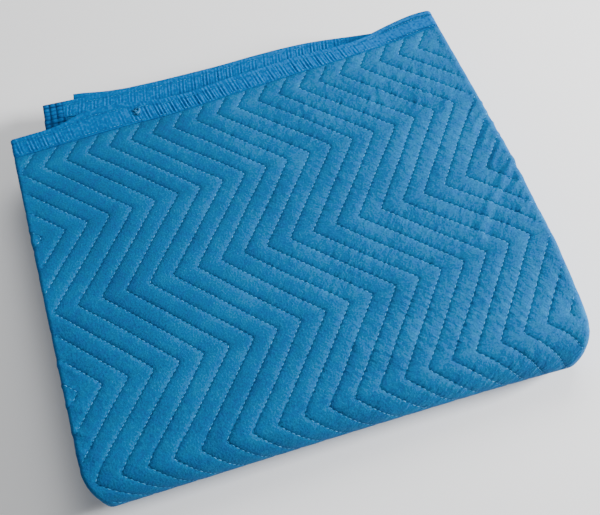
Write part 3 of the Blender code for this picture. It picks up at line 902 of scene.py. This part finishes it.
def hem_tape(name, run, fine_from, fine_to):
    """The tape over a hem. Between two places across the cloth it has its fine ribs."""
    inward, outer, inner_in, inner = tape_section()
    start = HEM_ONE_Y if run == LEG_1 else CLOTH_END
    sign = -1 if run == LEG_1 else 1
    rows = rows_at(np.full(len(inward), run), start + sign * inward / COLUMN)
    inner_rows = rows_at(np.full(len(inward), run), start + sign * inner_in / COLUMN)
    base = rows_at([run], [start + sign * 12.5 * MM / COLUMN])
    d_edge, c_turn, c_edge = (float(value[0, 0]) for value in cloth_ends(base))
    left, right = float(base["left"][0, 0]), float(base["right"][0, 0])
    stops = [d_edge, right + TURN_RIGHT, right, left, left - TURN_LEFT, c_turn, c_turn - TURN_LEFT, c_edge]
    steps = [
        fine_steps(a, b, fine_from, fine_to, (10.0, 1.2, 10.0, 0.8, 10.0, 0.8, 10.0)[n])
        for n, (a, b) in enumerate(zip(stops, stops[1:]))
    ]
    places = np.concatenate(steps + [[c_edge + 0.6 * MM / COLUMN, c_edge]])
    stop_rows = section_stops(rows)
    inner_stops = section_stops(inner_rows)
    index = np.interp(-places, -np.array(stops), np.arange(len(stops)))
    across = spread_places(stop_rows, index)
    inner_across = spread_places(inner_stops, index)
    way = (d_edge - places) * COLUMN
    fine = ease((places - fine_from) / 0.1 + 1) * ease((fine_to - places) / 0.1 + 1)
    visible = np.array([1.0] * len(FACE_STEPS) + [0.4, 0.0, 0.0, 0.0] + [0.0] * len(BACK_STEPS))
    gathered = fine[None, :] * wander(RIB_STRENGTH, on_pack(base, places[None, :])[0])
    ribs = rib_height(way[None, :], inward[:, None]) * gathered + seam_dip(inward)[:, None]
    sewn = (way[None, :] < PATCH_WIDE) & (run == LEG_4)
    patch = patch_height(way[None, :], inward[:, None])
    ribs = np.where(sewn, patch, ribs) * visible[:, None]
    skin = lift(rows, across, outer[:, None] + ribs).transpose(1, 0, 2)
    lining = lift(inner_rows, inner_across, inner[:, None] + 0 * ribs).transpose(1, 0, 2)
    thin = np.arange(len(inward))
    thin[1 : len(FACE_STEPS) - 1] = (thin[1 : len(FACE_STEPS) - 1] // 8) * 8 + 1
    shared = lining[:, thin].copy()
    shared[0], shared[-1] = lining[0], lining[-1]
    # Painted shade on the top tape: its right end, near the lamp, is darkened a little all over and more
    # along its two seam rows; in the stitched square the low seams get more painted shade than the raised
    # squares
    shaded_right_end = ease(on_pack(base, places[None, :])[0] - 16.2) * (run == LEG_1)
    groove_shade = shaded_right_end * seam_dip(inward)[:, None] / (-0.6 * MM)
    painted_shade = np.where(sewn, np.clip(0.9 - 1.2 * patch / MM, 0.1, 1.4), groove_shade + 0.2 * shaded_right_end).T
    facts = np.stack(np.broadcast_arrays(way[:, None] / MM, inward[None, :] / MM, painted_shade), -1)
    showing = np.flatnonzero((fine > 0.9) & (way > PATCH_WIDE + 2 * MM))
    for column in SEAM_COLUMNS:
        begin, finish = skin[showing[:-4:5], column], skin[showing[4::5], column]
        tape_seams.append((begin, finish[: len(begin)], begin - lining[showing[:-4:5], column]))
    return closed_cloth(name, skin, shared, facts.copy())


def section_stops(rows):
    """The ends of the flat and round parts of the section, row by row."""
    d_edge, c_turn, c_edge = cloth_ends(rows)
    left, right = rows["left"], rows["right"]
    parts = [d_edge, right + TURN_RIGHT, right, left, left - TURN_LEFT, c_turn]
    return np.concatenate(parts + [c_turn - TURN_LEFT, c_edge], axis=1)


def spread_places(stops, index):
    """Places part way between the stops, for each row."""
    first = np.minimum(index.astype(int), stops.shape[1] - 2)
    share = index - first
    return stops[:, first] * (1 - share) + stops[:, first + 1] * share


def fine_steps(start, end, fine_from, fine_to, coarse):
    """Steps from start down to end: fine ones between two places, and coarse elsewhere."""
    found = [start]
    while found[-1] > end:
        here = found[-1]
        step = TAPE_STEP if fine_from <= here <= fine_to else coarse
        found.append(here - step * MM / COLUMN)
    if len(found) > 2 and found[-2] - end < 0.4 * (found[-2] - found[-1]):
        found.pop()
    return np.array(found[:-1])


hem_one = hem_tape("hem_tape_top", LEG_1, -1.9, 20.6)
hem_two = hem_tape("hem_tape_under", LEG_4, 20.2, 60.0)
tape_stitches = laid_stitches(
    "binding_stitches", *(np.concatenate(part) for part in zip(*tape_seams)), 0.7 * MM, 0.24 * MM
)


# %% The tape along a side
def side_tape(name, layer):
    """The tape over the side edge of layer C or D, along all four legs."""
    inward, outer, inner_in, inner = tape_section()
    if layer == "C":
        keep = np.array([0, 2, 3, 8, 12, 14, 16] + list(range(18, len(inward))))
        inward, outer, inner_in, inner = inward[keep], outer[keep], inner_in[keep], inner[keep]
    offset = (-0.5 if layer == "C" else -1.5) * LAYER
    runs, along = [LEG_1], [HEM_ONE_Y - (TAPE_WIDTH + GAP) / COLUMN]
    for run in range(7):
        step = 8.0 * MM / COLUMN if run_table[run, 5] == 0 else 2.5 * MM / COLUMN
        last = run_starts[run + 1] + ((TAPE_WIDTH + GAP) / COLUMN if run == LEG_4 else 0.0)
        first = along[0] if run == LEG_1 else run_starts[run]
        count = max(2, round((first - last) / step))
        values = first + (last - first) * np.arange(count) / count
        if run == LEG_4:
            values = values[values > last + 20 * MM / COLUMN]
            values = np.append(values, last + np.arange(18, 0, -1) * MM / COLUMN)
        runs += [run] * len(values)
        along += list(values)
    runs.append(LEG_4)
    along.append(CLOTH_END + (TAPE_WIDTH - 0.6 * MM) / COLUMN)
    rows = rows_at(runs[1:], along[1:])
    edge = rows["c_end" if layer == "C" else "d_end"]
    from_hem = (rows["along"] - CLOTH_END) * COLUMN
    sewn = (layer == "D") & (from_hem < 6 * PATCH_CELL[1]) & (outer[None] > LINING)
    patch = patch_height(inward[None], from_hem)
    relief = np.where(sewn, patch, seam_dip(inward)[None] * (outer[None] > LINING))
    side = -1 if layer == "D" else 1
    skin = world(rows, edge + inward[None] / COLUMN, offset + side * (outer[None] + relief))
    lining = world(rows, edge + inner_in[None] / COLUMN, offset + side * inner[None])
    way = (HEM_ONE_Y - rows["along"]) * COLUMN / MM
    # Painted shade in the stitched square: darker where its seams sink, lighter on the raised squares
    painted_shade = np.where(sewn, np.clip(0.9 - 1.2 * patch / MM, 0.1, 1.4), 0.0)
    facts = np.stack(np.broadcast_arrays(way, inward[None] / MM, painted_shade), -1)
    return closed_cloth(name, skin, lining, facts.copy())


side_d = side_tape("side_tape_outer", "D")
side_c = side_tape("side_tape_inner", "C")

# %% [markdown]
# Where a seam was started again, the machine left a small snarl of loose thread on the top tape. It
# is one bent line with a thickness, turned into a mesh. A few sines bend it into loops, so it looks
# tangled and is the same each time.

# %% A snarl of loose thread
snarl_turn = np.linspace(0, 1, 90)
snarl_x = 4.62 + 0.10 * np.sin(4 * math.pi * snarl_turn + 0.3) + 0.07 * np.sin(14 * math.pi * snarl_turn)
snarl_y = 0.98 + 0.13 * np.cos(6 * math.pi * snarl_turn) + 0.05 * np.sin(10 * math.pi * snarl_turn + 1)
snarl_rows = rows_at(np.full(len(snarl_turn), LEG_1), snarl_y)
snarl_high = SKIN + 0.8 * MM + 0.5 * MM * np.sin(16 * math.pi * snarl_turn)
snarl_points = lift(snarl_rows, snarl_x[:, None], snarl_high[:, None])[:, 0]
snarl_curve = bpy.data.curves.new("snarl_line", "CURVE")
snarl_curve.dimensions = "3D"
snarl_curve.bevel_depth = 0.45 * MM
snarl_curve.bevel_resolution = 1
snarl_curve.use_fill_caps = True
snarl_spline = snarl_curve.splines.new("POLY")
snarl_spline.points.add(len(snarl_points) - 1)
snarl_spline.points.foreach_set("co", np.c_[snarl_points, np.ones(len(snarl_points))].ravel())
snarl_holder = bpy.data.objects.new("snarl_holder", snarl_curve)
bpy.context.scene.collection.objects.link(snarl_holder)
snarl_graph = bpy.context.evaluated_depsgraph_get()
snarl_mesh = bpy.data.meshes.new_from_object(snarl_holder.evaluated_get(snarl_graph))
bpy.data.objects.remove(snarl_holder)
snarl = bpy.data.objects.new("loose_thread", snarl_mesh)
bpy.context.scene.collection.objects.link(snarl)
print("loose thread faces:", len(snarl_mesh.polygons))

# %% [markdown]
# ## Cloth and thread
#
# The faces are spunbond polyester: fine fibres laid at random and bonded by heat, so the cloth is
# matte, faintly mottled, and has no weave. The dye is a bright sky blue. Fibres catch light at a
# low angle, which gives a slight sheen. Colours are written as on a screen, and one function turns
# them to the linear values that Blender works with. Another small function adds one node.


# %% Two helpers for materials
def linear(code):
    """A colour written as #RRGGBB, as linear values."""
    parts = [int(code[start : start + 2], 16) / 255 for start in (1, 3, 5)]
    values = [p / 12.92 if p <= 0.04045 else ((p + 0.055) / 1.055) ** 2.4 for p in parts]
    return (*values, 1.0)


def add(tree, kind, inputs=None, **settings):
    """Adds one node with its settings, and sets or links its inputs."""
    made = tree.nodes.new(kind)
    for name, value in settings.items():
        setattr(made, name, value)
    for socket, value in (inputs or {}).items():
        if isinstance(value, bpy.types.NodeSocket):
            tree.links.new(value, made.inputs[socket])
        else:
            made.inputs[socket].default_value = value
    return made


def sum_of(tree, operation, *values):
    """One Math node."""
    return add(tree, "ShaderNodeMath", dict(enumerate(values)), operation=operation).outputs[0]


# %% Spunbond polyester
def cloth_material():
    """Matte non-woven cloth: mottled by its fibres, pulled into folds beside the stitches."""
    material = bpy.data.materials.new("spunbond_polyester_blue")
    material.use_nodes = True
    tree = material.node_tree
    shader = tree.nodes["Principled BSDF"]
    place = add(tree, "ShaderNodeTexCoord").outputs["Object"]
    seams = add(tree, "ShaderNodeAttribute", attribute_name="seams").outputs["Vector"]
    parts = add(tree, "ShaderNodeSeparateXYZ", {"Vector": seams}).outputs
    line, count = parts["X"], parts["Y"]
    nearest = sum_of(tree, "ROUND", line)
    off_line = sum_of(tree, "ABSOLUTE", sum_of(tree, "SUBTRACT", line, nearest))
    far = sum_of(tree, "MULTIPLY", off_line, 2 * ROW_HALF / MM)  # mm from the seam
    close = sum_of(tree, "POWER", 2.718, sum_of(tree, "DIVIDE", far, -1.0))
    # Fibre clumps 1 to 3 mm across, and single bonded fibres drawn at 0.5 mm
    clumps = add(
        tree, "ShaderNodeTexNoise", {"Vector": place, "Scale": 480.0, "Detail": 3.0, "Roughness": 0.6}
    )
    fibres = add(
        tree, "ShaderNodeTexNoise", {"Vector": place, "Scale": 1500.0, "Detail": 2.0, "Roughness": 0.5}
    )
    dye = add(
        tree, "ShaderNodeTexNoise", {"Vector": place, "Scale": 22.0, "Detail": 2.0, "Roughness": 0.5}
    )
    broad = sum_of(tree, "MULTIPLY", dye.outputs["Fac"], 0.35)
    mottle = sum_of(tree, "ADD", sum_of(tree, "MULTIPLY", clumps.outputs["Fac"], 0.65), broad)
    ramp = add(tree, "ShaderNodeValToRGB", {"Fac": mottle})
    ramp.color_ramp.elements[0].position = 0.36
    ramp.color_ramp.elements[0].color = linear("#074B7D")
    ramp.color_ramp.elements[1].position = 0.64
    ramp.color_ramp.elements[1].color = linear("#0D659A")
    # The dye leans a little to green in some places and to violet in others
    tint = add(tree, "ShaderNodeTexNoise", {"Vector": place, "Scale": 95.0, "Detail": 1.0})
    hue = add(
        tree,
        "ShaderNodeMapRange",
        {"Value": tint.outputs["Fac"], "From Min": 0.35, "From Max": 0.65, "To Min": 0.495, "To Max": 0.505},
    )
    shaded = add(tree, "ShaderNodeHueSaturation", {"Hue": hue.outputs[0], "Color": ramp.outputs["Color"]})
    dyed = shaded.outputs["Color"]
    # The seam is pressed, and painted shade darkens it, most of all in the needle holes
    turn = sum_of(tree, "ADD", count, sum_of(tree, "MULTIPLY", nearest, LINE_PHASE))
    hole = sum_of(tree, "COSINE", sum_of(tree, "MULTIPLY", turn, 2 * math.pi))
    hole = sum_of(tree, "MULTIPLY", sum_of(tree, "ADD", hole, 1.0), close)
    pressed_and_shaded = sum_of(tree, "MULTIPLY", hole, 0.26)
    # The painted shade is a dark blue mixed into the cloth colour by that amount
    painted_shade = add(
        tree,
        "ShaderNodeMix",
        {"Factor": pressed_and_shaded, "A": dyed, "B": linear("#022F56")},
        data_type="RGBA",
    )
    tree.links.new(painted_shade.outputs["Result"], shader.inputs["Base Color"])
    # Folds that the thread pulls in, 5 to 9 mm apart, square to the seam
    sideways = sum_of(tree, "MULTIPLY", sum_of(tree, "SUBTRACT", line, nearest), parts["Z"])
    slant = math.sin(math.acos(LEAN)) * COLUMN / STITCH_LENGTH
    seam_way = sum_of(tree, "ADD", count, sum_of(tree, "MULTIPLY", sideways, slant))
    pulled = add(
        tree,
        "ShaderNodeCombineXYZ",
        {
            "X": sum_of(tree, "MULTIPLY", line, 0.7),
            "Y": sum_of(tree, "MULTIPLY", seam_way, 0.8),
            "Z": sum_of(tree, "MULTIPLY", nearest, 3.7),
        },
    )
    folds = add(
        tree, "ShaderNodeTexNoise", {"Vector": pulled.outputs[0], "Scale": 1.0, "Detail": 2.0}
    )
    reach = sum_of(tree, "POWER", 2.718, sum_of(tree, "DIVIDE", far, -12.0))
    middle = sum_of(tree, "POWER", sum_of(tree, "MULTIPLY", off_line, 2.0), 6.0)
    reach = sum_of(tree, "MULTIPLY", reach, sum_of(tree, "SUBTRACT", 1.0, middle))
    fold_height = sum_of(tree, "MULTIPLY", sum_of(tree, "SUBTRACT", folds.outputs["Fac"], 0.5), reach)
    # They are stronger over the right half
    across = add(tree, "ShaderNodeSeparateXYZ", {"Vector": place}).outputs["X"]
    strong = add(
        tree,
        "ShaderNodeMapRange",
        {"Value": across, "From Min": -0.10, "From Max": 0.06, "To Min": 0.8 * MM, "To Max": 3.4 * MM},
    )
    fold_height = sum_of(tree, "MULTIPLY", fold_height, strong.outputs[0])
    dent = sum_of(tree, "MULTIPLY", hole, -0.16 * MM)
    grain = sum_of(tree, "MULTIPLY", clumps.outputs["Fac"], 0.60 * MM)
    fine = sum_of(tree, "MULTIPLY", fibres.outputs["Fac"], 0.20 * MM)
    height = sum_of(tree, "ADD", sum_of(tree, "ADD", grain, fine), fold_height)
    height = sum_of(tree, "ADD", height, dent)
    bump = add(tree, "ShaderNodeBump", {"Height": height, "Distance": 1.0, "Strength": 0.9})
    tree.links.new(bump.outputs[0], shader.inputs["Normal"])
    shader.inputs["Roughness"].default_value = 0.88
    shader.inputs["IOR"].default_value = 1.45
    shader.inputs["Specular IOR Level"].default_value = 0.2
    shader.inputs["Sheen Weight"].default_value = 0.08
    shader.inputs["Sheen Roughness"].default_value = 0.5
    shader.inputs["Sheen Tint"].default_value = linear("#1684C8")
    return material


# %% Binding tape and sewing thread
def tape_material():
    """The same dye on a thin bonded tape: a little brighter, with painted shade where it is sewn."""
    material = bpy.data.materials.new("polyester_binding_tape_blue")
    material.use_nodes = True
    tree = material.node_tree
    shader = tree.nodes["Principled BSDF"]
    place = add(tree, "ShaderNodeTexCoord").outputs["Object"]
    clumps = add(tree, "ShaderNodeTexNoise", {"Vector": place, "Scale": 300.0, "Detail": 3.0})
    ramp = add(tree, "ShaderNodeValToRGB", {"Fac": clumps.outputs["Fac"]})
    ramp.color_ramp.elements[0].position = 0.35
    ramp.color_ramp.elements[0].color = linear("#02508E")
    ramp.color_ramp.elements[1].position = 0.65
    ramp.color_ramp.elements[1].color = linear("#056AAC")
    # Painted shade in the two sewn rows, in the low seams of the stitched square, and over the right end
    # of the top tape, from the facts kept on the mesh
    facts = add(tree, "ShaderNodeAttribute", attribute_name="seams").outputs["Vector"]
    parts = add(tree, "ShaderNodeSeparateXYZ", {"Vector": facts}).outputs
    pressed_and_shaded = sum_of(tree, "MULTIPLY", parts["Z"], 0.7)
    for row in SEAM_ROWS:
        far = sum_of(tree, "ABSOLUTE", sum_of(tree, "SUBTRACT", parts["Y"], row / MM))
        near = sum_of(tree, "POWER", 2.718, sum_of(tree, "DIVIDE", far, -1.1))
        pressed_and_shaded = sum_of(tree, "ADD", pressed_and_shaded, sum_of(tree, "MULTIPLY", near, 0.5))
    # The painted shade is a dark blue mixed into the tape colour
    sewn = add(
        tree,
        "ShaderNodeMix",
        {"Factor": pressed_and_shaded, "A": ramp.outputs["Color"], "B": linear("#04325F")},
        data_type="RGBA",
    )
    tree.links.new(sewn.outputs["Result"], shader.inputs["Base Color"])
    fine = sum_of(tree, "MULTIPLY", clumps.outputs["Fac"], 0.25 * MM)
    bump = add(tree, "ShaderNodeBump", {"Height": fine, "Distance": 1.0, "Strength": 0.8})
    tree.links.new(bump.outputs[0], shader.inputs["Normal"])
    shader.inputs["Roughness"].default_value = 0.72
    shader.inputs["Specular IOR Level"].default_value = 0.06
    return material


def thread_material(name, low, high):
    """Spun polyester thread with a soft gloss, its blue between two colours."""
    material = bpy.data.materials.new(name)
    material.use_nodes = True
    tree = material.node_tree
    shader = tree.nodes["Principled BSDF"]
    place = add(tree, "ShaderNodeTexCoord").outputs["Object"]
    noise = add(tree, "ShaderNodeTexNoise", {"Vector": place, "Scale": 160.0, "Detail": 1.0})
    ramp = add(tree, "ShaderNodeValToRGB", {"Fac": noise.outputs["Fac"]})
    ramp.color_ramp.elements[0].position = 0.35
    ramp.color_ramp.elements[0].color = linear(low)
    ramp.color_ramp.elements[1].position = 0.65
    ramp.color_ramp.elements[1].color = linear(high)
    tree.links.new(ramp.outputs["Color"], shader.inputs["Base Color"])
    shader.inputs["Roughness"].default_value = 0.5
    shader.inputs["Specular IOR Level"].default_value = 0.15
    return material


cloth = cloth_material()
tape = tape_material()
thread = thread_material("spun_polyester_thread_blue", "#1F7CBA", "#3F9AD2")
# The loose thread is the same thread with painted shade: darker colours stand in for the shade inside the
# tangle
shaded_thread = thread_material("loose_polyester_thread_painted_shade", "#062C4A", "#2F7FB4")
for piece, material in ((quilt, cloth), (hem_one, tape), (hem_two, tape), (side_d, tape), (side_c, tape)):
    piece.data.materials.clear()
    piece.data.materials.append(material)
for piece, material in ((stitches, thread), (tape_stitches, thread), (snarl, shaded_thread)):
    piece.data.materials.clear()
    piece.data.materials.append(material)

# %% [markdown]
# ## Floor and light
#
# The blanket lies on a plain pale floor. A large soft lamp stands to its right, low enough for its
# light to graze the quilting: the slopes that face right are bright, and those that face left are
# dark. A pale sky fills the shadows.

# %% Set the stage
floor_mesh = bmesh.new()
bmesh.ops.create_grid(floor_mesh, x_segments=1, y_segments=1, size=4.0)
floor_data = bpy.data.meshes.new("floor")
floor_mesh.to_mesh(floor_data)
floor_mesh.free()
floor = bpy.data.objects.new("floor", floor_data)
bpy.context.scene.collection.objects.link(floor)
floor_material = bpy.data.materials.new("matt_white_paper")
floor_material.use_nodes = True
floor_shader = floor_material.node_tree.nodes["Principled BSDF"]
floor_shader.inputs["Base Color"].default_value = linear("#F4F4F4")
floor_shader.inputs["Roughness"].default_value = 0.9
floor_data.materials.append(floor_material)


def soft_lamp(name, power, size, place, colour):
    """A square area lamp that looks at the middle of the blanket."""
    data = bpy.data.lights.new(name, "AREA")
    data.energy = power
    data.size = size
    data.color = linear(colour)[:3]
    lamp = bpy.data.objects.new(name, data)
    lamp.location = place
    look = Vector((0.0, 0.0, 0.03)) - Vector(place)
    lamp.rotation_euler = look.to_track_quat("-Z", "Y").to_euler()
    bpy.context.scene.collection.objects.link(lamp)
    return lamp


soft_lamp("key_lamp", 150.0, 0.6, (2.06, -0.50, 0.86), "#FFFFFF")
soft_lamp("top_lamp", 24.0, 1.2, (0.6, 1.0, 1.5), "#FFFFFF")
room = bpy.data.worlds.new("pale_room")
bpy.context.scene.world = room
room.use_nodes = True
room.node_tree.nodes["Background"].inputs["Color"].default_value = linear("#F2F5F8")
room.node_tree.nodes["Background"].inputs["Strength"].default_value = 0.33

# %% [markdown]
#
# Each piece hides the CAD node it stands for and is attached to the body it moves with. The tapes,
# stitches and loose thread move with the quilt on the same body.

# %% Hide the CAD parts and attach the pieces
for piece, node in (
    (quilt, "quilt"),
    (hem_one, "hem_binding_top"),
    (hem_two, "hem_binding_under"),
    (side_d, "side_binding_outer"),
    (side_c, "side_binding_inner"),
):
    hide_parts(node)
    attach(piece, "root")
for piece in (stitches, tape_stitches, snarl):
    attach(piece, "root")
